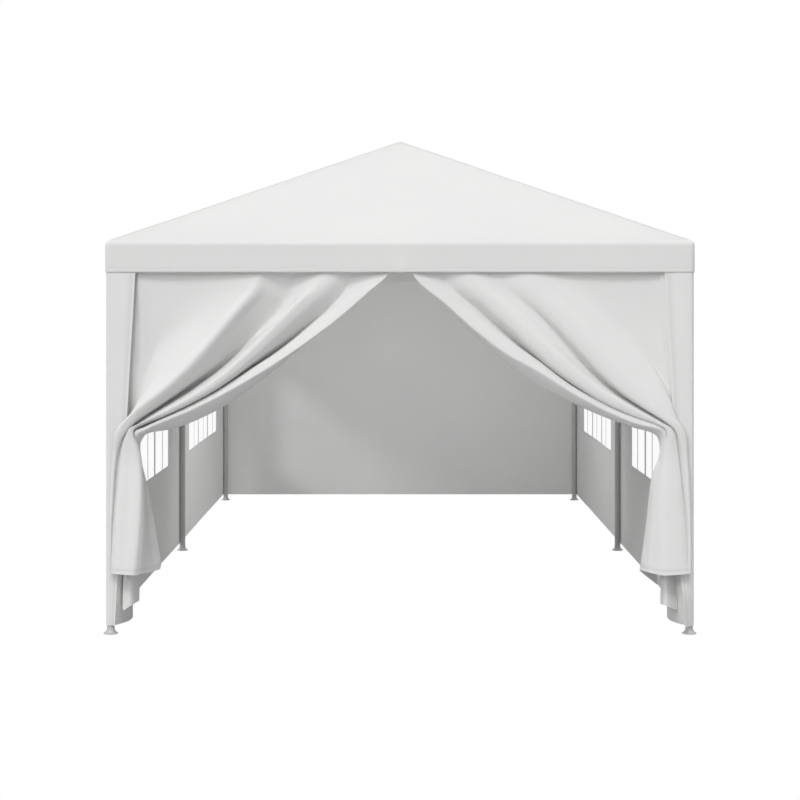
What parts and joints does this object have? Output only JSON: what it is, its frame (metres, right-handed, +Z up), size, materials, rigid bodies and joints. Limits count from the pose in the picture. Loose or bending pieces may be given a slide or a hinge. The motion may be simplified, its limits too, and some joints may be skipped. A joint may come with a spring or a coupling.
{
  "type": "marquee tent",
  "caption": "Rectangular marquee with a tube frame, hipped cloth roof, straight valance, windowed side walls and an open end with tied-back curtains.",
  "frame": {"origin": "on the floor, at the middle of the tent's footprint", "axes": "+Z up, +Y from the open front end to the closed rear end, +X to the right seen from the front"},
  "size_m": [3.019, 6.019, 2.6337],
  "materials": {
    "frame_steel": "white powder coating, satin",
    "roof_cloth": "white coated woven polyethylene",
    "wall_cloth": "white coated woven polyethylene",
    "window_film": "clear flexible film",
    "tie_webbing": "white woven webbing"
  },
  "bodies": {
    "root": {"leg_front_left": "frame_steel", "leg_front_right": "frame_steel", "leg_middle_left": "frame_steel", "leg_middle_right": "frame_steel", "leg_rear_left": "frame_steel", "leg_rear_right": "frame_steel", "corner_joint_front_left": "frame_steel", "corner_joint_front_right": "frame_steel", "corner_joint_rear_left": "frame_steel", "corner_joint_rear_right": "frame_steel", "eave_joint_left": "frame_steel", "eave_joint_right": "frame_steel", "ridge_joint_front": "frame_steel", "ridge_joint_middle": "frame_steel", "ridge_joint_rear": "frame_steel", "eave_beam_front": "frame_steel", "eave_beam_rear": "frame_steel", "eave_beam_left": "frame_steel", "eave_beam_right": "frame_steel", "hip_rafter_front_left": "frame_steel", "hip_rafter_front_right": "frame_steel", "hip_rafter_rear_left": "frame_steel", "hip_rafter_rear_right": "frame_steel", "middle_rafter_left": "frame_steel", "middle_rafter_right": "frame_steel", "ridge_pole": "frame_steel", "roof_panel_front": "roof_cloth", "roof_panel_rear": "roof_cloth", "roof_panel_left": "roof_cloth", "roof_panel_right": "roof_cloth", "valance": "roof_cloth", "wall_left_front": "wall_cloth", "wall_left_rear": "wall_cloth", "wall_right_front": "wall_cloth", "wall_right_rear": "wall_cloth", "rear_wall": "wall_cloth", "corner_strip_left": "wall_cloth", "corner_strip_right": "wall_cloth", "curtain_left": "wall_cloth", "curtain_right": "wall_cloth", "window_film_left_front": "window_film", "window_film_left_rear": "window_film", "window_film_right_front": "window_film", "window_film_right_rear": "window_film", "curtain_tie_left": "tie_webbing", "curtain_tie_right": "tie_webbing"}
  },
  "joints": []
}
